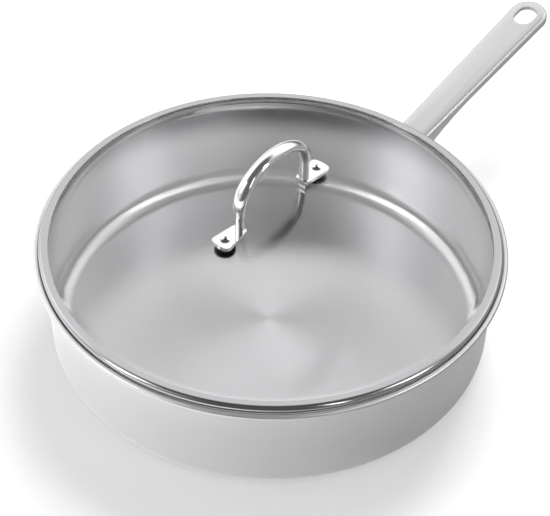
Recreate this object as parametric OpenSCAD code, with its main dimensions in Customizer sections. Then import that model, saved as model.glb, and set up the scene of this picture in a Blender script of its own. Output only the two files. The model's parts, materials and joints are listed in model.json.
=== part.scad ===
// Stainless saute pan with a glass lid.
// Millimetres, +Z up. The origin is the centre of the face that the pan stands on,
// and +X runs out along the handle. The lid is drawn closed.

/* [Pan] */
// Inside diameter of the pan at its wall
pan_d = 280; // [200:1:340]
// Height of the rim above the face the pan stands on
pan_h = 74.5; // [60:0.5:140]
// Thickness of the drawn steel sheet
wall_t = 0.8; // [0.6:0.1:1.2]
// Outside radius of the corner between floor and wall
corner_r = 12; // [8:0.5:20]

/* [Rim] */
// Radius of the bend that turns the wall outwards
flare_r = 10; // [6:0.5:16]
// Angle of the flare, from the vertical
flare_a = 45; // [35:1:55]
// Length of the straight, sloping face of the flare
flare_l = 3; // [2:0.25:6]
// Outside radius of the curl at the lip
curl_r = 2; // [1.6:0.1:3]

/* [Base] */
// Diameter of the capsule under the floor
base_d = 254; // [170:1:300]
// Thickness of the aluminium core
core_t = 2.6; // [2:0.1:6]
// Thickness of the steel cap round the core
cap_t = 0.6; // [0.4:0.1:1]
// Outside radius of the cap's lower edge
cap_edge_r = 2.6; // [1.5:0.1:3]

/* [Handle] */
// Length of the handle from the pan's wall to its tip, along its slope
handle_l = 161; // [120:1:240]
// Width of the handle where it meets the pan
handle_root_w = 21.5; // [18:0.5:28]
// Width of the handle at its rounded tip
handle_tip_w = 27; // [24:0.5:36]
// Rise of the handle above the horizontal
handle_tilt = 10.2; // [0:0.1:14]
// Distance of the handle's top face below the rim, where it meets the wall
handle_drop = 7.6; // [7.5:0.1:30]
// Thickness of the handle's sheet
handle_t = 2; // [1.5:0.1:2.5]
// Outside radius of the bend along the handle's edges
handle_bend_r = 3; // [2.6:0.1:4]
// Depth of the turned-down sides at the pan
side_root_h = 16; // [12:0.5:18]
// Depth of the turned-down sides over the grip
side_grip_h = 5.5; // [4.5:0.1:9]
// Length over which the sides lose their extra depth
side_taper_l = 62; // [30:1:90]

/* [Hanging hole] */
// Length of the oval hole, along the handle
hole_l = 18.5; // [14:0.5:30]
// Width of the oval hole
hole_w = 14; // [8:0.5:16]
// Metal between the hole and the tip
hole_edge = 7.4; // [6:0.1:14]
// Depth of the turned-in edge of the hole
hole_collar_h = 3; // [2.6:0.1:5]
// Thickness of that turned-in edge
hole_collar_t = 1.2; // [1:0.1:2]

/* [Handle bracket] */
// Width of the saddle that is welded to the wall
saddle_w = 46; // [34:1:70]
// Height of the saddle
saddle_h = 24; // [18:0.5:28]
// Thickness of the bracket's sheet
saddle_t = 1.5; // [1:0.1:2.5]
// Length of the tongue inside the handle
tongue_l = 40; // [24:1:55]
// Depth of the tongue
tongue_h = 11; // [8:0.5:12]
// Corner radius of the saddle
saddle_r = 7; // [3:0.5:8]

/* [Lid glass] */
// Thickness of the glass
glass_t = 3.8; // [3:0.1:5]
// Rise of the dome above its flat rim
glass_rise = 26; // [16:0.1:40]
// Width of the flat rim of the glass
glass_rim_w = 7; // [6.5:0.1:10]
// Radius of the hollow between rim and dome
glass_fillet_r = 10; // [5:0.5:16]

/* [Lid band] */
// Thickness of the steel band round the glass
band_t = 0.45; // [0.3:0.05:0.7]
// Thickness of the silicone between glass and band
seal_t = 0.4; // [0.2:0.05:0.6]
// Width of the band over the glass, seen from above
band_w = 6; // [4.5:0.1:6.2]
// Part of the flare that the closed lid leaves free, along its slope
lip_clear = 0.85; // [0.2:0.05:1.2]
// Clearance between the closed lid and the flare
lid_gap = 0.3; // [0.2:0.05:0.6]

/* [Pull] */
// Distance between the pull's two screws
pull_pitch = 88; // [70:1:110]
// Height of the pull above the underside of its feet
pull_h = 43.8; // [36:0.5:60]
// Width of the grip
grip_w = 9.2; // [7:0.1:12]
// Thickness of the grip
grip_t = 6.6; // [5:0.1:9]
// Width of the legs under the grip
leg_w = 7.8; // [6:0.1:10]
// Thickness of the legs
leg_t = 4.6; // [3.5:0.1:6]
// Height at which the legs end and the grip starts
leg_h = 18; // [12:0.5:22]
// Distance from a screw to the middle of its leg
leg_offset = 13; // [11.5:0.5:16]
// Radius of the pull's shoulders, at mid-thickness
shoulder_r = 19; // [12:0.5:21]
// Width of a foot at its outer end
foot_w = 14.6; // [12:0.1:20]
// Reach of a foot beyond its screw
foot_reach = 6.6; // [6:0.1:10]
// Thickness of a foot
foot_t = 2.4; // [2:0.1:4]
// Corner radius of a foot
foot_r = 3.2; // [1:0.1:4]

/* [Screws, washers and gaskets] */
// Diameter of the screws
screw_d = 4; // [3:0.5:5]
// Diameter of the pan head
head_d = 8; // [7:0.1:9.5]
// Height of the pan head
head_h = 2.6; // [2:0.1:3.5]
// Clearance round a screw, on the radius
screw_clear = 0.15; // [0.05:0.05:0.4]
// How far the screw's end stays below the top of its foot
screw_recess = 1.5; // [0.8:0.1:1.8]
// Diameter of the dish round the screw's end
dish_d = 6; // [5.4:0.1:8]
// Depth of that dish
dish_h = 0.9; // [0.4:0.1:1.2]
// Diameter of the gasket above the glass
gasket_d = 11.5; // [10.5:0.5:15]
// Thickness of that gasket at its screw
gasket_h = 2; // [1.2:0.1:3]
// Wall of the gasket's neck in the glass
neck_t = 1.1; // [0.8:0.1:1.5]
// Diameter of the inner gasket and of the washer
washer_d = 13; // [10:0.5:16]
// Thickness of the inner gasket at its screw
inner_gasket_h = 1.8; // [1.4:0.1:3]
// Thickness of the washer
washer_h = 0.8; // [0.5:0.1:1.5]

/* [Hidden] */

steel = "silver";
bright_steel = "gainsboro";
round_fn = 180;
bore_fn = 48;
arc_step = 7.5;
dome_step = 1.5;
cut = 1;

// Pan: radii and heights of the drawn shell
inner_r = pan_d / 2;
outer_r = inner_r + wall_t;
shell_z = cap_t + core_t;
floor_z = shell_z + wall_t;
corner_c = [outer_r - corner_r, shell_z + corner_r];

// Rim: the bend, the sloping face and the curl, from the neck up
slope_dir = [sin(flare_a), cos(flare_a)];
slope_out = [cos(flare_a), -sin(flare_a)];
rim_rise = flare_r * sin(flare_a) + flare_l * cos(flare_a) + curl_r * (1 - sin(flare_a));
neck_z = pan_h - rim_rise;
bend_c = [inner_r + flare_r, neck_z];
slope_start = bend_c - flare_r * slope_out;
slope_end = slope_start + flare_l * slope_dir;
curl_c = slope_end + curl_r * slope_out;
curl_end_a = -55;

// Base: the capsule's edge
cap_r = base_d / 2;
cap_c = [cap_r - cap_edge_r, cap_edge_r];

// Lid: the band's round edge rests in the flare, clear of it by lid_gap
band_r = glass_t / 2 + seal_t + band_t;
band_c = slope_end - lip_clear * slope_dir - (band_r + lid_gap) * slope_out;
band_outer_r = band_c[0] + band_r;
band_inner_r = band_outer_r - band_w;
glass_top_z = band_c[1] + glass_t / 2;
apex_z = glass_top_z + glass_rise;
glass_flat_r = band_c[0] + glass_t / 2 - glass_rim_w;
dome_reach = (glass_flat_r * glass_flat_r + glass_rise * glass_rise) / (2 * glass_rise);
dome_r = dome_reach - glass_fillet_r;
dome_c = [0, apex_z - dome_r];
dome_a = asin(glass_flat_r / dome_reach);
fillet_c = [glass_flat_r, glass_top_z + glass_fillet_r];

// Pull: heights of the stack at a screw
screw_x = pull_pitch / 2;
glass_over_z = dome_z(screw_x, dome_r);
glass_under_z = dome_z(screw_x, dome_r - glass_t);
leg_x = screw_x - leg_offset;
heel_x = leg_x - leg_t / 2;
foot_clear = 0.3;
foot_z = max(glass_over_z + gasket_h, dome_z(heel_x, dome_r) + foot_clear);
foot_top_z = foot_z + foot_t;
washer_top_z = glass_under_z - inner_gasket_h;
head_top_z = washer_top_z - washer_h;
bore_r = screw_d / 2 + screw_clear;
neck_r = bore_r + neck_t;
neck_foot_z = dome_z(screw_x - neck_r, dome_r - glass_t);
glass_hole_r = neck_r + screw_clear;
conform_h = 4;

// Pull: the grip's centre line is two shoulder arcs and one flatter top arc
shoulder_steps = 8;
top_steps = 12;
leg_foot_step = 0.6;
foot_bulge = 1;
foot_heel_r = 1;
shoulder_c = [leg_x - shoulder_r, leg_h];
top_rise = pull_h - grip_t / 2 - leg_h;
top_r = (top_rise * top_rise + shoulder_c[0] * shoulder_c[0] - shoulder_r * shoulder_r)
        / (2 * (top_rise - shoulder_r));
top_c = [0, leg_h + top_rise - top_r];
shoulder_a = atan2(top_r - top_rise, shoulder_c[0]);

// Handle: it leaves the wall below the lip and rises at handle_tilt
root_z = pan_h - handle_drop;
tip_r = handle_tip_w / 2;
tip_x = handle_l - tip_r;
hole_x = handle_l - hole_edge - hole_l / 2;
root_reach = 8;
taper_steps = 12;
inner_slack = 0.1;
saddle_drop = 1;

// Points along an arc from angle a0 to a1, one every step degrees or less
function arc(c, r, a0, a1, step = arc_step) =
    let (n = max(1, ceil(abs(a1 - a0) / step)))
    [for (i = [0:n]) let (a = a0 + (a1 - a0) * i / n) c + r * [cos(a), sin(a)]];

// An outline with each corner rounded: points and one radius for each
function rounded(pts, radii) =
    let (n = len(pts))
    [for (i = [0:n - 1])
        let (p = pts[i],
             u = unit(pts[(i + n - 1) % n] - p),
             v = unit(pts[(i + 1) % n] - p),
             half = acos(u * v) / 2,
             c = p + unit(u + v) * radii[i] / sin(half),
             turn = sign(u[0] * v[1] - u[1] * v[0]),
             mid = atan2(-(u + v)[1], -(u + v)[0]),
             span = (90 - half) * turn)
        each radii[i] > 0 ? arc(c, radii[i], mid + span, mid - span) : [p]];

function unit(v) = v / norm(v);

// Height of a dome of radius r about the lid's dome centre, at distance x from the axis
function dome_z(x, r) = dome_c[1] + sqrt(r * r - x * x);

// Solid through a stack of rings that have the same number of points
module loft(rings) {
    n = len(rings[0]);
    last = len(rings) - 1;
    polyhedron(
        points = [for (ring = rings) each ring],
        faces = [
            [for (i = [0:n - 1]) i],
            for (k = [0:last - 1], i = [0:n - 1])
                [k * n + i, (k + 1) * n + i, (k + 1) * n + (i + 1) % n, k * n + (i + 1) % n],
            [for (i = [n - 1:-1:0]) last * n + i]],
        convexity = 6);
}

// Shell, revolved: floor, corner, wall, flare and curled lip in one drawn sheet
module pan_body() {
    color(steel) rotate_extrude($fn = round_fn) polygon(concat(
        [[0, shell_z]],
        arc(corner_c, corner_r, -90, 0),
        arc(bend_c, flare_r - wall_t, 180, 180 - flare_a),
        arc(curl_c, curl_r - wall_t, 180 - flare_a, curl_end_a, 15),
        arc(curl_c, curl_r, curl_end_a, 180 - flare_a, 15),
        arc(bend_c, flare_r, 180 - flare_a, 180),
        arc(corner_c, corner_r - wall_t, 0, -90),
        [[0, floor_z]]));
}

// Aluminium disc that spreads the heat, closed in by the cap
module base_core() {
    color("lightgray") rotate_extrude($fn = round_fn) polygon(concat(
        [[0, cap_t]],
        arc(cap_c, cap_edge_r - cap_t, -90, 0, 15),
        [[cap_r - cap_t, shell_z], [0, shell_z]]));
}

// Steel dish round the core, with its edge turned up to the shell
module base_cap() {
    color(steel) rotate_extrude($fn = round_fn) polygon(concat(
        [[0, 0]],
        arc(cap_c, cap_edge_r, -90, 0, 15),
        [[cap_r, shell_z], [cap_r - cap_t, shell_z]],
        arc(cap_c, cap_edge_r - cap_t, 0, -90, 15),
        [[0, cap_t]]));
}

// Puts a shape drawn along +X, top face at zero, where the handle is
module on_handle() {
    translate([outer_r, 0, root_z]) rotate([0, -handle_tilt, 0]) children();
}

// Plan of the handle, drawn in by inset: two straight sides and a round tip
function handle_plan(inset, z) =
    let (side_a = asin((tip_r - handle_root_w / 2) / (tip_x + root_reach)),
         r = tip_r - inset,
         back = -root_reach,
         root = (handle_root_w / 2 - inset) / cos(side_a))
    [[back, -root, z],
     each [for (p = arc([tip_x, 0], r, -90 - side_a, 90 + side_a, 10)) [p[0], p[1], z]],
     [back, root, z]];

// Block with the handle's plan, its upper edge rounded by edge_r, from top down to depth
module handle_block(inset, top, edge_r, depth) {
    loft([
        handle_plan(inset, -depth),
        for (a = [0:15:75]) handle_plan(inset + edge_r * (1 - cos(a)), top - edge_r * (1 - sin(a))),
        handle_plan(inset + edge_r, top)]);
}

// Oval hole through the handle, made larger all round by extra
module hole_shape(extra, top, depth) {
    r = hole_w / 2 + extra;
    run = (hole_l - hole_w) / 2;
    translate([hole_x, 0, top - depth]) {
        for (side = [-1, 1]) translate([side * run, 0, 0]) cylinder(r = r, h = depth, $fn = bore_fn);
        translate([-run, -r, 0]) cube([2 * run, 2 * r, depth]);
    }
}

// Side view of the handle: full depth at the pan, shallow over the grip
module handle_side() {
    reach = handle_l + cut;
    rotate([90, 0, 0]) linear_extrude(height = handle_tip_w + 2 * cut, center = true)
        polygon(concat(
            [[-root_reach, cut], [-root_reach, -side_root_h]],
            [for (i = [0:taper_steps]) let (t = i / taper_steps)
                [side_taper_l * t,
                 -side_root_h + (side_root_h - side_grip_h) * (1 - pow(1 - t, 2))]],
            [[reach, -side_grip_h], [reach, cut]]));
}

// Pressed channel: flat top, turned-down sides that run on round the tip, oval hole
module handle() {
    color(bright_steel) difference() {
        on_handle() difference() {
            union() {
                intersection() {
                    difference() {
                        handle_block(0, 0, handle_bend_r, side_root_h + cut);
                        handle_block(handle_t, -handle_t, handle_bend_r - handle_t,
                                     side_root_h + 2 * cut);
                    }
                    handle_side();
                }
                hole_shape(hole_collar_t, -handle_t / 2, hole_collar_h - handle_t / 2);
            }
            hole_shape(0, cut, hole_collar_h + 2 * cut);
        }
        cylinder(r = outer_r + saddle_t, h = 2 * pan_h, $fn = round_fn);
    }
}

// Bracket: a saddle that follows the wall, and a tongue that fills the handle's root
module handle_bracket() {
    tongue_w = handle_root_w - 2 * handle_t - 2 * inner_slack;
    saddle_z = neck_z - saddle_drop - saddle_h / 2;
    saddle = rounded(
        [[-saddle_w / 2, -saddle_h / 2], [saddle_w / 2, -saddle_h / 2],
         [saddle_w / 2, saddle_h / 2], [-saddle_w / 2, saddle_h / 2]],
        [saddle_r, saddle_r, saddle_r / 2, saddle_r / 2]);
    tongue = rounded(
        [[-tongue_w / 2, -tongue_h], [tongue_w / 2, -tongue_h], [tongue_w / 2, 0],
         [-tongue_w / 2, 0]],
        [0, 0, handle_bend_r - handle_t, handle_bend_r - handle_t]);
    color(steel) {
        intersection() {
            difference() {
                cylinder(r = outer_r + saddle_t, h = pan_h, $fn = round_fn);
                translate([0, 0, -cut]) cylinder(r = outer_r, h = pan_h + 2 * cut, $fn = round_fn);
            }
            translate([0, 0, saddle_z]) rotate([90, 0, 90])
                linear_extrude(height = 2 * outer_r) polygon(saddle);
        }
        difference() {
            on_handle() translate([-root_reach, 0, -handle_t]) rotate([90, 0, 90])
                linear_extrude(height = root_reach + tongue_l) difference() {
                    polygon(tongue);
                    translate([saddle_t - tongue_w / 2, -tongue_h - cut])
                        square([tongue_w - 2 * saddle_t, tongue_h - saddle_t + cut]);
                }
            cylinder(r = outer_r + saddle_t / 2, h = 2 * pan_h, $fn = round_fn);
        }
    }
}

// Outline of the glass in section, or of all that lies under its top face
function glass_top_line() = concat(
    arc(dome_c, dome_r, 90, 90 - dome_a, dome_step),
    arc(fillet_c, glass_fillet_r, 270 - dome_a, 270));
function glass_under_line() = concat(
    arc(fillet_c, glass_fillet_r + glass_t, 270, 270 - dome_a),
    arc(dome_c, dome_r - glass_t, 90 - dome_a, 90, dome_step));

// Places a child at both screws, or at one
module at_screw(side) {
    translate([side * screw_x, 0, 0]) children();
}

// Tempered dome with a flat rim, a round edge and two screw holes
module lid_glass() {
    color("lightcyan", 0.35) difference() {
        rotate_extrude($fn = round_fn) polygon(concat(
            glass_top_line(),
            arc(band_c, glass_t / 2, 90, -90, 15),
            glass_under_line()));
        for (side = [-1, 1]) at_screw(side) translate([0, 0, glass_under_z - conform_h])
            cylinder(r = glass_hole_r, h = glass_t + 2 * conform_h, $fn = bore_fn);
    }
}

// Section of a strip bent round the edge of the glass
module edge_channel(inside_r, t, reach_r) {
    rotate_extrude($fn = round_fn) polygon(concat(
        [[reach_r, band_c[1] + inside_r + t]],
        arc(band_c, inside_r + t, 90, -90, 15),
        [[reach_r, band_c[1] - inside_r - t], [reach_r, band_c[1] - inside_r]],
        arc(band_c, inside_r, -90, 90, 15),
        [[reach_r, band_c[1] + inside_r]]));
}

// Steel band rolled round the edge of the glass
module lid_band() {
    color(bright_steel) edge_channel(glass_t / 2 + seal_t, band_t, band_inner_r);
}

// Silicone that beds the glass in the band
module glass_seal() {
    color("white") edge_channel(glass_t / 2, seal_t, band_inner_r);
}

// Oval section of the pull, at a point of its centre line where the tangent has angle a
function pull_ring(p, a, w, t) =
    [for (i = [0:15:345])
        let (across = w / 2 * cos(i), out = t / 2 * sin(i))
        [p[0] - out * sin(a), across, p[1] + out * cos(a)]];

// Arched pull: oval grip, slimmer legs and a flat foot at each end
module lid_pull() {
    grip = concat(
        [for (i = [0:shoulder_steps]) let (t = shoulder_a * i / shoulder_steps)
            [shoulder_c + shoulder_r * [cos(t), sin(t)], t + 90]],
        [for (i = [1:top_steps - 1]) let (t = shoulder_a + (180 - 2 * shoulder_a) * i / top_steps)
            [top_c + top_r * [cos(t), sin(t)], t + 90]],
        [for (i = [shoulder_steps:-1:0]) let (t = 180 - shoulder_a * i / shoulder_steps)
            [[-shoulder_c[0], shoulder_c[1]] + shoulder_r * [cos(t), sin(t)], t + 90]]);
    heel_y = leg_w / 2 + leg_foot_step;
    toe_x = screw_x + foot_reach;
    foot = rounded(
        [[heel_x, -heel_y], [toe_x - foot_bulge, -foot_w / 2], [toe_x, 0],
         [toe_x - foot_bulge, foot_w / 2], [heel_x, heel_y]],
        [foot_heel_r, foot_r, foot_w, foot_r, foot_heel_r]);
    color(bright_steel) translate([0, 0, foot_z]) difference() {
        union() {
            loft([for (g = grip) pull_ring(g[0], g[1], grip_w, grip_t)]);
            for (flip = [0, 1]) mirror([flip, 0, 0]) {
                loft([for (h = [foot_t / 2, leg_h + cut]) pull_ring([leg_x, h], 90, leg_w, leg_t)]);
                linear_extrude(height = foot_t) polygon(foot);
            }
        }
        for (side = [-1, 1]) at_screw(side) {
            translate([0, 0, -cut])
                cylinder(r = bore_r, h = foot_t + 2 * cut, $fn = bore_fn);
            translate([0, 0, foot_t - dish_h])
                cylinder(r1 = bore_r, r2 = dish_d / 2, h = dish_h, $fn = bore_fn);
        }
    }
}

// Everything under the top face of the glass, as a cutter
module under_glass_top() {
    rotate_extrude($fn = round_fn) polygon(concat(
        glass_top_line(), [[glass_flat_r, 0], [0, 0]]));
}

// Everything over the underside of the glass, as a cutter
module over_glass_underside() {
    rotate_extrude($fn = round_fn) polygon(concat(
        glass_under_line(), [[0, apex_z + pull_h], [glass_flat_r, apex_z + pull_h]]));
}

// Black gasket between foot and glass, with a neck that lines the hole
module outer_gasket(side) {
    color("dimgray") difference() {
        union() {
            difference() {
                at_screw(side) translate([0, 0, glass_over_z - conform_h])
                    cylinder(d = gasket_d, h = conform_h + foot_z - glass_over_z, $fn = bore_fn);
                under_glass_top();
            }
            at_screw(side) translate([0, 0, neck_foot_z])
                cylinder(r = neck_r, h = foot_z - neck_foot_z - gasket_h / 2, $fn = bore_fn);
        }
        at_screw(side) translate([0, 0, glass_under_z - cut])
            cylinder(r = bore_r, h = foot_z, $fn = bore_fn);
    }
}

// Black gasket between glass and washer
module inner_gasket(side) {
    color("dimgray") difference() {
        at_screw(side) translate([0, 0, washer_top_z])
            cylinder(d = washer_d, h = inner_gasket_h + conform_h, $fn = bore_fn);
        over_glass_underside();
        at_screw(side) translate([0, 0, washer_top_z - cut])
            cylinder(r = bore_r, h = inner_gasket_h + conform_h + 2 * cut, $fn = bore_fn);
    }
}

// Steel washer under the inner gasket
module washer(side) {
    color(steel) at_screw(side) translate([0, 0, head_top_z]) difference() {
        cylinder(d = washer_d, h = washer_h, $fn = bore_fn);
        translate([0, 0, -cut])
            cylinder(r = bore_r, h = washer_h + 2 * cut, $fn = bore_fn);
    }
}

// Pan-head screw that comes up from inside the lid
module screw(side) {
    slot_w = 1.1;
    slot_h = 1.4;
    edge = 0.7;
    color(steel) at_screw(side) difference() {
        union() {
            translate([0, 0, head_top_z])
                cylinder(d = screw_d, h = foot_top_z - screw_recess - head_top_z, $fn = bore_fn);
            translate([0, 0, head_top_z - head_h + edge])
                cylinder(d = head_d, h = head_h - edge, $fn = bore_fn);
            translate([0, 0, head_top_z - head_h])
                cylinder(d1 = head_d - 2 * edge, d2 = head_d, h = edge, $fn = bore_fn);
        }
        for (a = [0, 90]) rotate([0, 0, a])
            translate([-head_d / 4, -slot_w / 2, head_top_z - head_h - cut])
                cube([head_d / 2, slot_w, slot_h + cut]);
    }
}

module outer_gasket_handle_side() { outer_gasket(1); }
module outer_gasket_far_side() { outer_gasket(-1); }
module inner_gasket_handle_side() { inner_gasket(1); }
module inner_gasket_far_side() { inner_gasket(-1); }
module washer_handle_side() { washer(1); }
module washer_far_side() { washer(-1); }
module screw_handle_side() { screw(1); }
module screw_far_side() { screw(-1); }

pan_body();
base_core();
base_cap();
handle();
handle_bracket();
lid_glass();
lid_band();
glass_seal();
lid_pull();
outer_gasket_handle_side();
outer_gasket_far_side();
inner_gasket_handle_side();
inner_gasket_far_side();
washer_handle_side();
washer_far_side();
screw_handle_side();
screw_far_side();
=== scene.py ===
import json
from math import asin, ceil, cos, degrees, pi, radians, sin

import bpy
from bpy.props import FloatProperty, FloatVectorProperty, PointerProperty
from mathutils import Matrix, Vector


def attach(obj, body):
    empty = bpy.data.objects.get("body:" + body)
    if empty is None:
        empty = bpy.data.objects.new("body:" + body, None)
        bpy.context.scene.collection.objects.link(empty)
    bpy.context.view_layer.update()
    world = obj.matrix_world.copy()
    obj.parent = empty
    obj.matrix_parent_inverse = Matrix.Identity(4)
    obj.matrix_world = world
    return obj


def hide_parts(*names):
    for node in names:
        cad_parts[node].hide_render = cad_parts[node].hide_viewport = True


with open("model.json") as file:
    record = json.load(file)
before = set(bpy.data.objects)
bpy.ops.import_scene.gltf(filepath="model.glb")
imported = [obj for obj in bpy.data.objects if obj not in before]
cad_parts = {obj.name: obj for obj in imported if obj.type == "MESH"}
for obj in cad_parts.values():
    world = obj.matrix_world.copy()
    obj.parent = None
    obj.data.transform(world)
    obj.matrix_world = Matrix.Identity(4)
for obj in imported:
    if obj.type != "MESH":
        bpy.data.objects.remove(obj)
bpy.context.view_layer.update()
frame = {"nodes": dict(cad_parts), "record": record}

bl_info = {
    "name": "Saute pan with glass lid",
    "version": (1, 0, 0),
    "blender": (4, 5, 0),
    "location": "View3D > Sidebar > Pan",
    "description": "Dresses the pan's solids with modelled pieces, metals, glass and a pale stage",
    "category": "Object",
}

MM = 0.001
START_SIZE = 0.001
MERGE_REACH = 0.000002
SPIN_STEPS = 216
SPUN_CREASE = radians(35.0)
COPY_CREASE = radians(40.0)

# The pan's shell, in millimetres, as its solid has it
WALL_T = 0.8
OUTER_R = 140.8
CORNER_R = 12.0
SHELL_Z = 3.2
PAN_H = 74.5
FLARE_R = 10.0
FLARE_A = 45.0
FLARE_L = 3.0
CURL_R = 2.0
CURL_END_A = -55.0
SLOPE = (sin(radians(FLARE_A)), cos(radians(FLARE_A)))
SLOPE_OUT = (cos(radians(FLARE_A)), -sin(radians(FLARE_A)))
RIM_RISE = FLARE_R * SLOPE[0] + FLARE_L * SLOPE[1] + CURL_R * (1 - SLOPE[0])
BEND_C = (OUTER_R - WALL_T + FLARE_R, PAN_H - RIM_RISE)
SLOPE_END = (BEND_C[0] - FLARE_R * SLOPE_OUT[0] + FLARE_L * SLOPE[0],
             BEND_C[1] - FLARE_R * SLOPE_OUT[1] + FLARE_L * SLOPE[1])
CURL_C = (SLOPE_END[0] + CURL_R * SLOPE_OUT[0], SLOPE_END[1] + CURL_R * SLOPE_OUT[1])

# The lid's glass and the band round it
GLASS_T = 3.8
GLASS_RISE = 26.0
RIM_W = 7.0
FILLET_R = 10.0
BAND_T = 0.45
SEAL_T = 0.4
BAND_W = 6.0
LIP_CLEAR = 0.85
LID_GAP = 0.3
BAND_R = GLASS_T / 2 + SEAL_T + BAND_T
BAND_C = (SLOPE_END[0] - LIP_CLEAR * SLOPE[0] - (BAND_R + LID_GAP) * SLOPE_OUT[0],
          SLOPE_END[1] - LIP_CLEAR * SLOPE[1] - (BAND_R + LID_GAP) * SLOPE_OUT[1])
BAND_INNER_R = BAND_C[0] + BAND_R - BAND_W
FLAT_R = BAND_C[0] + GLASS_T / 2 - RIM_W
DOME_REACH = (FLAT_R ** 2 + GLASS_RISE ** 2) / (2 * GLASS_RISE)
DOME_R = DOME_REACH - FILLET_R
DOME_C = (0.0, BAND_C[1] + GLASS_T / 2 + GLASS_RISE - DOME_R)
DOME_A = degrees(asin(FLAT_R / DOME_REACH))
FILLET_C = (FLAT_R, BAND_C[1] + GLASS_T / 2 + FILLET_R)

# Noise scales of the steel, for the fine grooves and for the wider rings
GROOVES = 2600.0
RINGS = 240.0

# The camera as it was fitted to the photo, 550 pixels wide
PHOTO_WIDTH = 550.0
SENSOR_WIDTH = 36.0
SHIFT_PIXELS = (4.87, 21.03)
CAMERA_AIM = (0.0, 0.0, 0.04)
CAMERA_AZIMUTH = radians(-51.27)
VIEW_RIGHT = (cos(CAMERA_AZIMUTH), sin(CAMERA_AZIMUTH), 0.0)
VIEW_BACK = (-sin(CAMERA_AZIMUTH), cos(CAMERA_AZIMUTH), 0.0)

# The stage: metres, watts, and light that is added to the floor for the camera
FLOOR_SIZE = 12.0
FLOOR_Z = -0.0002
FLOOR_LIFT = 0.22
SKY_GLOW = 0.42
LAMPS = (
    ("key_light", (0.9, 0.35, 1.5), 0.9, 19.0),
    ("fill_light", (-0.5, -1.3, 1.4), 1.4, 5.0))


class Socket:
    """A node's output, so that shader maths reads as Python."""

    def __init__(self, tree, output):
        self.tree = tree
        self.output = output

    def math(self, operation, *values):
        return self.tree.node("ShaderNodeMath", {"operation": operation}, dict(enumerate(values)))

    def __add__(self, other):
        return self.math("ADD", self, other)

    def __radd__(self, other):
        return self.math("ADD", other, self)

    def __sub__(self, other):
        return self.math("SUBTRACT", self, other)

    def __rsub__(self, other):
        return self.math("SUBTRACT", other, self)

    def __mul__(self, other):
        return self.math("MULTIPLY", self, other)

    def __rmul__(self, other):
        return self.math("MULTIPLY", other, self)

    def clamp(self, low=0.0, high=1.0):
        return self.tree.node("ShaderNodeClamp", {}, {"Value": self, "Min": low, "Max": high})

    def ramp(self, low, high):
        """0 below low, 1 above high, and smooth between them."""
        return self.tree.node(
            "ShaderNodeMapRange", {"interpolation_type": "SMOOTHSTEP"},
            {"Value": self, "From Min": low, "From Max": high})


class Shading:
    """The node tree of one material or of the world."""

    def __init__(self, owner):
        owner.use_nodes = True
        self.tree = owner.node_tree
        self.tree.nodes.clear()

    def node(self, kind, settings, inputs, output=0):
        """Adds a node, sets it, fills its sockets with values or links, and gives one output."""
        made = self.tree.nodes.new(kind)
        for name, value in settings.items():
            setattr(made, name, value)
        for name, value in inputs.items():
            if isinstance(value, Socket):
                self.tree.links.new(value.output, made.inputs[name])
            else:
                made.inputs[name].default_value = value
        return Socket(self, made.outputs[output]) if made.outputs else None

    def place(self):
        """The point in the object's own frame, whole and as its three numbers."""
        point = self.node("ShaderNodeTexCoord", {}, {}, "Object")
        split = self.node("ShaderNodeSeparateXYZ", {}, {"Vector": point})
        outputs = split.output.node.outputs
        return point, [Socket(self, outputs[axis]) for axis in range(3)]

    def noise(self, vector, scale, detail=2.0):
        return self.node(
            "ShaderNodeTexNoise", {}, {"Vector": vector, "Scale": scale, "Detail": detail})

    def join(self, x, y, z):
        return self.node("ShaderNodeCombineXYZ", {}, {"X": x, "Y": y, "Z": z})

    def mix(self, factor, dark, light):
        return self.node(
            "ShaderNodeMix", {"data_type": "RGBA"}, {"Factor": factor, 6: dark, 7: light}, 2)

    def bump(self, height, depth):
        return self.node("ShaderNodeBump", {}, {"Height": height, "Distance": depth, "Strength": 1.0})

    def surface(self, inputs):
        shader = self.node("ShaderNodeBsdfPrincipled", {}, inputs)
        self.node("ShaderNodeOutputMaterial", {}, {"Surface": shader})


def new_material(name):
    material = bpy.data.materials.new(name)
    return material, Shading(material)


def rgb(colour):
    return (*colour, 1.0)


def steel(name, colour, roughness, anisotropy, groove):
    """Stainless steel with fine grooves that run round the pan's axis."""
    material, sh = new_material(name)
    point, (x, y, z) = sh.place()
    radius = sh.node("ShaderNodeMath", {"operation": "SQRT"}, {0: x * x + y * y})
    lines = sh.noise(sh.join(radius, 0.0, z), GROOVES, 1.0)
    rings = sh.noise(sh.join(radius, 0.0, z), RINGS, 2.0)
    clouds = sh.noise(point, 9.0, 3.0)
    tone = sh.mix(clouds.ramp(0.3, 0.7), rgb([c * 0.94 for c in colour]), rgb(colour))
    sh.surface({
        "Base Color": tone, "Metallic": 1.0,
        "Roughness": roughness + (rings - 0.5) * 0.02 + (clouds - 0.5) * 0.03,
        "Anisotropic": anisotropy, "Normal": sh.bump(lines, groove)})
    return material


def polished(name, colour, roughness):
    """Polished steel with faint wipe marks."""
    material, sh = new_material(name)
    point, _ = sh.place()
    marks = sh.noise(point, 60.0, 4.0)
    sh.surface({
        "Base Color": rgb(colour), "Metallic": 1.0,
        "Roughness": roughness + marks * 0.03, "Normal": sh.bump(marks, 0.00001)})
    return material


def rubber(name, colour, roughness):
    """Silicone with a fine, dusty grain."""
    material, sh = new_material(name)
    point, _ = sh.place()
    grain = sh.noise(point, 700.0)
    sh.surface({
        "Base Color": sh.mix(grain, rgb(colour), rgb([c * 1.4 + 0.01 for c in colour])),
        "Roughness": roughness + (grain - 0.5) * 0.1, "Normal": sh.bump(grain, 0.00003)})
    return material


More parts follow.
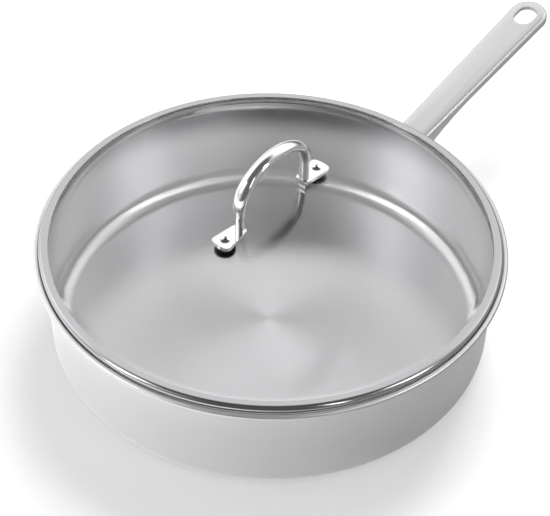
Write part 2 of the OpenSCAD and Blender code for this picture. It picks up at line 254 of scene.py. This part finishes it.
def clear_glass(name):
    """Clear tempered glass."""
    material, sh = new_material(name)
    point, _ = sh.place()
    dust = sh.noise(point, 25.0, 4.0).ramp(0.5, 0.9)
    sh.surface({
        "Base Color": (0.99, 0.99, 0.993, 1.0), "Roughness": dust * 0.004,
        "Transmission Weight": 1.0, "IOR": 1.5})
    return material


def arc(centre, radius, start, end, step=6.0):
    """Points on an arc in the half plane, from angle start to end, in degrees."""
    count = max(1, ceil(abs(end - start) / step))
    return [(centre[0] + radius * cos(radians(start + (end - start) * i / count)),
             centre[1] + radius * sin(radians(start + (end - start) * i / count)))
            for i in range(count + 1)]


def start_point(name, place):
    """A new mesh with one vertex, left in edit mode."""
    bpy.ops.object.select_all(action="DESELECT")
    bpy.ops.mesh.primitive_plane_add(size=START_SIZE)
    piece = bpy.context.object
    piece.name = name
    piece.data.name = name
    bpy.ops.object.mode_set(mode="EDIT")
    bpy.ops.mesh.select_all(action="SELECT")
    bpy.ops.mesh.merge(type="CENTER")
    bpy.ops.transform.translate(value=place)
    return piece


def close_up():
    """Merges what lies together and turns every face outwards."""
    bpy.ops.mesh.select_all(action="SELECT")
    bpy.ops.mesh.remove_doubles(threshold=MERGE_REACH)
    bpy.ops.mesh.normals_make_consistent(inside=False)
    bpy.ops.object.mode_set(mode="OBJECT")


def revolve(name, outline):
    """Extrudes an outline, in millimetres, point by point and spins it round the pan's axis."""
    points = [Vector((radius, 0.0, height)) * MM for radius, height in outline]
    piece = start_point(name, points[0])
    for before, after in zip(points, points[1:]):
        bpy.ops.mesh.extrude_region_move(TRANSFORM_OT_translate={"value": after - before})
    bpy.ops.mesh.select_all(action="SELECT")
    bpy.ops.mesh.spin(steps=SPIN_STEPS, angle=2 * pi, center=(0.0, 0.0, 0.0), axis=(0.0, 0.0, 1.0))
    close_up()
    bpy.ops.object.shade_smooth_by_angle(angle=SPUN_CREASE)
    return piece


def refined_copy(node, name):
    """A copy of a CAD node with its triangles joined and shaded smooth."""
    source = frame["nodes"][node]
    bpy.ops.object.select_all(action="DESELECT")
    piece = source.copy()
    piece.data = source.data.copy()
    piece.name = name
    bpy.context.collection.objects.link(piece)
    piece.parent = None
    piece.matrix_world = Matrix.Identity(4)
    piece.select_set(True)
    bpy.context.view_layer.objects.active = piece
    bpy.ops.object.mode_set(mode="EDIT")
    bpy.ops.mesh.select_all(action="SELECT")
    bpy.ops.mesh.customdata_custom_splitnormals_clear()
    close_up()
    bpy.ops.object.shade_smooth_by_angle(angle=COPY_CREASE)
    return piece


def stand_for(piece, node, material):
    """Puts a modelled piece in the place of a CAD node."""
    piece.data.materials.clear()
    piece.data.materials.append(material)
    body = next(name for name, nodes in frame["record"]["behaviour"]["bodies"].items()
                if node in nodes)
    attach(piece, body)
    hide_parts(node)


def pan_outline():
    corner = (OUTER_R - CORNER_R, SHELL_Z + CORNER_R)
    return (
        [(0.0, SHELL_Z)]
        + arc(corner, CORNER_R, -90, 0)
        + arc(BEND_C, FLARE_R - WALL_T, 180, 180 - FLARE_A)
        + arc(CURL_C, CURL_R - WALL_T, 180 - FLARE_A, CURL_END_A, 12)
        + arc(CURL_C, CURL_R, CURL_END_A, 180 - FLARE_A, 12)
        + arc(BEND_C, FLARE_R, 180 - FLARE_A, 180)
        + arc(corner, CORNER_R - WALL_T, 0, -90)
        + [(0.0, SHELL_Z + WALL_T)])


def glass_outline():
    under_r = DOME_R - GLASS_T
    return (
        arc(DOME_C, DOME_R, 90, 90 - DOME_A, 0.8)
        + arc(FILLET_C, FILLET_R, 270 - DOME_A, 270, 4)
        + arc(BAND_C, GLASS_T / 2, 90, -90, 12)
        + arc(FILLET_C, FILLET_R + GLASS_T, 270, 270 - DOME_A, 4)
        + arc(DOME_C, under_r, 90 - DOME_A, 90, 0.8))


def channel_outline(inside, thick):
    """Closed section of a strip bent round the edge of the glass."""
    outline = (
        [(BAND_INNER_R, BAND_C[1] + inside + thick)]
        + arc(BAND_C, inside + thick, 90, -90, 10)
        + [(BAND_INNER_R, BAND_C[1] - inside - thick), (BAND_INNER_R, BAND_C[1] - inside)]
        + arc(BAND_C, inside, -90, 90, 10)
        + [(BAND_INNER_R, BAND_C[1] + inside)])
    return outline + outline[:1]


def dress(node, material):
    """Gives a kept CAD node its material."""
    mesh = frame["nodes"][node].data
    mesh.materials.clear()
    mesh.materials.append(material)


class PanSettings(bpy.types.PropertyGroup):
    steel_colour: FloatVectorProperty(
        name="Steel colour", description="Colour of the satin steel", subtype="COLOR",
        default=(0.63, 0.63, 0.64), min=0.0, max=1.0)
    satin: FloatProperty(
        name="Satin", description="Roughness of the satin steel", default=0.3, min=0.05, max=0.6)
    brushing: FloatProperty(
        name="Brushing", description="How far the grooves stretch a highlight", default=0.85,
        min=0.0, max=1.0)


class StageSettings(bpy.types.PropertyGroup):
    azimuth: FloatProperty(
        name="Camera azimuth", description="Angle of the camera round the pan", subtype="ANGLE",
        default=CAMERA_AZIMUTH)
    elevation: FloatProperty(
        name="Camera elevation", description="Angle of the camera above the floor",
        subtype="ANGLE", default=radians(44.11))
    distance: FloatProperty(
        name="Camera distance", description="From the camera to the point it is fitted round",
        subtype="DISTANCE", default=1.115)
    roll: FloatProperty(
        name="Camera roll", description="Turn of the camera about its view", subtype="ANGLE",
        default=radians(1.28))
    lens: FloatProperty(
        name="Lens", description="Focal length for a sensor 36 mm wide", default=114.0)
    floor_colour: FloatVectorProperty(
        name="Floor colour", description="Colour of the floor and the background",
        subtype="COLOR", default=(1.0, 1.0, 1.0), min=0.0, max=1.0)


class PAN_OT_metal(bpy.types.Operator):
    """Dress the pan's steel and aluminium"""
    bl_idname = "pan.metal"
    bl_label = "Pan metal"

    def execute(self, context):
        look = context.scene.pan_look
        body = steel("satin_steel", look.steel_colour, look.satin, look.brushing, 0.0000003)
        grip = steel("handle_steel", (0.62, 0.62, 0.625), 0.34, 0.0, 0.000001)
        core = steel("rolled_aluminium", (0.8, 0.8, 0.81), 0.4, 0.3, 0.000004)
        stand_for(revolve("drawn_pan", pan_outline()), "pan_body", body)
        stand_for(refined_copy("handle", "channel_handle"), "handle", grip)
        dress("base_cap", body)
        for node in ("handle_bracket", "washer_handle_side", "washer_far_side"):
            dress(node, grip)
        # The screws are near-black steel: painted shade for their ends, recessed in the pull's feet
        dark = steel("screw_steel_painted_shade", (0.12, 0.12, 0.125), 0.5, 0.0, 0.000001)
        for node in ("screw_handle_side", "screw_far_side"):
            dress(node, dark)
        dress("base_core", core)
        return {"FINISHED"}


class PAN_OT_lid(bpy.types.Operator):
    """Dress the lid's glass, band, pull and gaskets"""
    bl_idname = "pan.lid"
    bl_label = "Lid"

    def execute(self, context):
        bright = polished("polished_steel", (0.74, 0.74, 0.75), 0.05)
        stand_for(revolve("glass_dome", glass_outline()), "lid_glass", clear_glass("lid_glass"))
        edging = polished("edging_steel", (0.4, 0.4, 0.41), 0.12)
        stand_for(revolve("rolled_band", channel_outline(GLASS_T / 2 + SEAL_T, BAND_T)), "lid_band",
                  edging)
        stand_for(refined_copy("lid_pull", "arched_pull"), "lid_pull", bright)
        dress("glass_seal", rubber("pale_silicone", (0.6, 0.6, 0.58), 0.5))
        black = rubber("black_silicone", (0.012, 0.012, 0.012), 0.55)
        for place in ("outer", "inner"):
            for side in ("handle_side", "far_side"):
                dress(f"{place}_gasket_{side}", black)
        return {"FINISHED"}


class PAN_OT_stage(bpy.types.Operator):
    """Set the floor, the lights and the camera"""
    bl_idname = "pan.stage"
    bl_label = "Stage"

    def execute(self, context):
        look = context.scene.stage_look
        self.add_floor(look)
        self.add_world(context.scene)
        self.add_lamps()
        self.add_camera(context.scene, look)
        context.scene.view_settings.view_transform = "Standard"
        return {"FINISHED"}

    def add_floor(self, look):
        bpy.ops.object.select_all(action="DESELECT")
        bpy.ops.mesh.primitive_plane_add(size=FLOOR_SIZE, location=(0.0, 0.0, FLOOR_Z))
        bpy.ops.object.transform_apply(location=True)
        floor = bpy.context.object
        floor.name = "floor"
        material, sh = new_material("white_paper")
        point, (x, y, _) = sh.place()
        fibre = sh.noise(point, 40.0)
        path = light_path(sh)
        mirrored = path("Is Glossy Ray")
        seen = (path("Is Camera Ray") + path("Is Transmission Ray")).clamp()
        # The floor that the steel mirrors is painted: painted light glows at the camera's left and
        # painted shade darkens its right
        painted_shade_side = (x * VIEW_RIGHT[0] + y * VIEW_RIGHT[1]).ramp(-0.3, 0.3)
        even_glow_and_painted_light = seen * FLOOR_LIFT + mirrored * (0.9 - painted_shade_side * 0.85)
        paper = sh.mix(fibre, rgb([c * 0.99 for c in look.floor_colour]), rgb(look.floor_colour))
        sh.surface({
            # Painted shade: for the steel's reflections the floor's colour goes toward black at the
            # camera's right
            "Base Color": sh.mix(mirrored * painted_shade_side * 0.6, paper, (0.0, 0.0, 0.0, 1.0)),
            "Roughness": 0.9, "Specular IOR Level": 0.1,
            "Emission Color": sh.join(even_glow_and_painted_light, even_glow_and_painted_light, even_glow_and_painted_light), "Emission Strength": 1.0})
        floor.data.materials.append(material)

    def add_world(self, scene):
        world = bpy.data.worlds.new("studio")
        scene.world = world
        sh = Shading(world)
        path = light_path(sh)
        way = sh.node("ShaderNodeTexCoord", {}, {}, "Generated")

        def along(axis):
            return sh.node("ShaderNodeVectorMath", {"operation": "DOT_PRODUCT"},
                           {0: way, 1: axis}, "Value")

        up = along((0.0, 0.0, 1.0))
        angle = sh.node("ShaderNodeMath", {"operation": "ARCTAN2"},
                        {0: along(VIEW_RIGHT), 1: along(VIEW_BACK)})

        def sector(centre, width, edge):
            """1 over a width of the horizon, in degrees to the right of straight back."""
            off = sh.node("ShaderNodeMath", {"operation": "ABSOLUTE"}, {0: angle - radians(centre)})
            return 1.0 - off.ramp(radians(width / 2 - edge), radians(width / 2 + edge))

        behind = along(VIEW_BACK).ramp(-0.1, 0.45) * (1.0 - up.ramp(0.8, 0.95)) * 1.25
        beside = (sector(-90, 90, 20) * 0.8 + sector(90, 90, 20) * 0.4) * (1.0 - up.ramp(0.75, 0.9))
        strips = (sector(-110, 9, 3) * 9.0 + sector(110, 9, 3) * 8.0
                  + sector(148, 6, 2) * 5.0)
        strips = strips * up.ramp(0.3, 0.4) * (1.0 - up.ramp(0.75, 0.85))
        studio = 0.16 + behind * up.ramp(0.05, 0.3) + beside + strips
        mirrored = (path("Is Glossy Ray") + path("Is Transmission Ray")).clamp()
        camera = path("Is Camera Ray")
        strength = camera + (1.0 - camera) * (mirrored * studio + (1.0 - mirrored) * SKY_GLOW)
        background = sh.node(
            "ShaderNodeBackground", {}, {"Color": (1.0, 1.0, 1.0, 1.0), "Strength": strength})
        sh.node("ShaderNodeOutputWorld", {}, {"Surface": background})

    def add_lamps(self):
        for name, place, size, power in LAMPS:
            lamp = bpy.data.lights.new(name, "AREA")
            lamp.energy = power
            lamp.shape = "SQUARE"
            lamp.size = size
            holder = bpy.data.objects.new(name, lamp)
            bpy.context.collection.objects.link(holder)
            holder.visible_glossy = False
            holder.visible_transmission = False
            holder.location = place
            holder.rotation_euler = (-Vector(place)).to_track_quat("-Z", "Y").to_euler()

    def add_camera(self, scene, look):
        camera = bpy.data.cameras.new("camera")
        camera.lens = look.lens
        camera.sensor_width = SENSOR_WIDTH
        camera.sensor_fit = "HORIZONTAL"
        camera.shift_x = SHIFT_PIXELS[0] / PHOTO_WIDTH
        camera.shift_y = SHIFT_PIXELS[1] / PHOTO_WIDTH
        camera.clip_start = 0.05
        holder = bpy.data.objects.new("camera", camera)
        scene.collection.objects.link(holder)
        flat = cos(look.elevation)
        away = Vector((sin(look.azimuth) * flat, -cos(look.azimuth) * flat, sin(look.elevation)))
        turn = away.to_track_quat("Z", "Y").to_matrix() @ Matrix.Rotation(look.roll, 3, "Z")
        holder.matrix_world = turn.to_4x4()
        holder.location = Vector(CAMERA_AIM) + away * look.distance
        scene.camera = holder


def light_path(sh):
    """Gives the light path's outputs by name."""
    outputs = sh.node("ShaderNodeLightPath", {}, {}).output.node.outputs
    return lambda name: Socket(sh, outputs[name])


class PAN_PT_panel(bpy.types.Panel):
    """Lists the pan's operators and settings"""
    bl_idname = "PAN_PT_panel"
    bl_label = "Saute pan"
    bl_space_type = "VIEW_3D"
    bl_region_type = "UI"
    bl_category = "Pan"

    def draw(self, context):
        for settings in (context.scene.pan_look, context.scene.stage_look):
            for name in settings.bl_rna.properties.keys():
                if name not in ("rna_type", "name"):
                    self.layout.prop(settings, name)
        for operator in OPERATORS:
            self.layout.operator(operator.bl_idname)


OPERATORS = (PAN_OT_metal, PAN_OT_lid, PAN_OT_stage)
CLASSES = (PanSettings, StageSettings, *OPERATORS, PAN_PT_panel)


def register():
    for cls in CLASSES:
        bpy.utils.register_class(cls)
    bpy.types.Scene.pan_look = PointerProperty(type=PanSettings)
    bpy.types.Scene.stage_look = PointerProperty(type=StageSettings)


def unregister():
    del bpy.types.Scene.stage_look
    del bpy.types.Scene.pan_look
    for cls in reversed(CLASSES):
        bpy.utils.unregister_class(cls)


def main():
    register()
    bpy.ops.pan.metal()
    bpy.ops.pan.lid()
    bpy.ops.pan.stage()


if __name__ == "__main__":
    main()
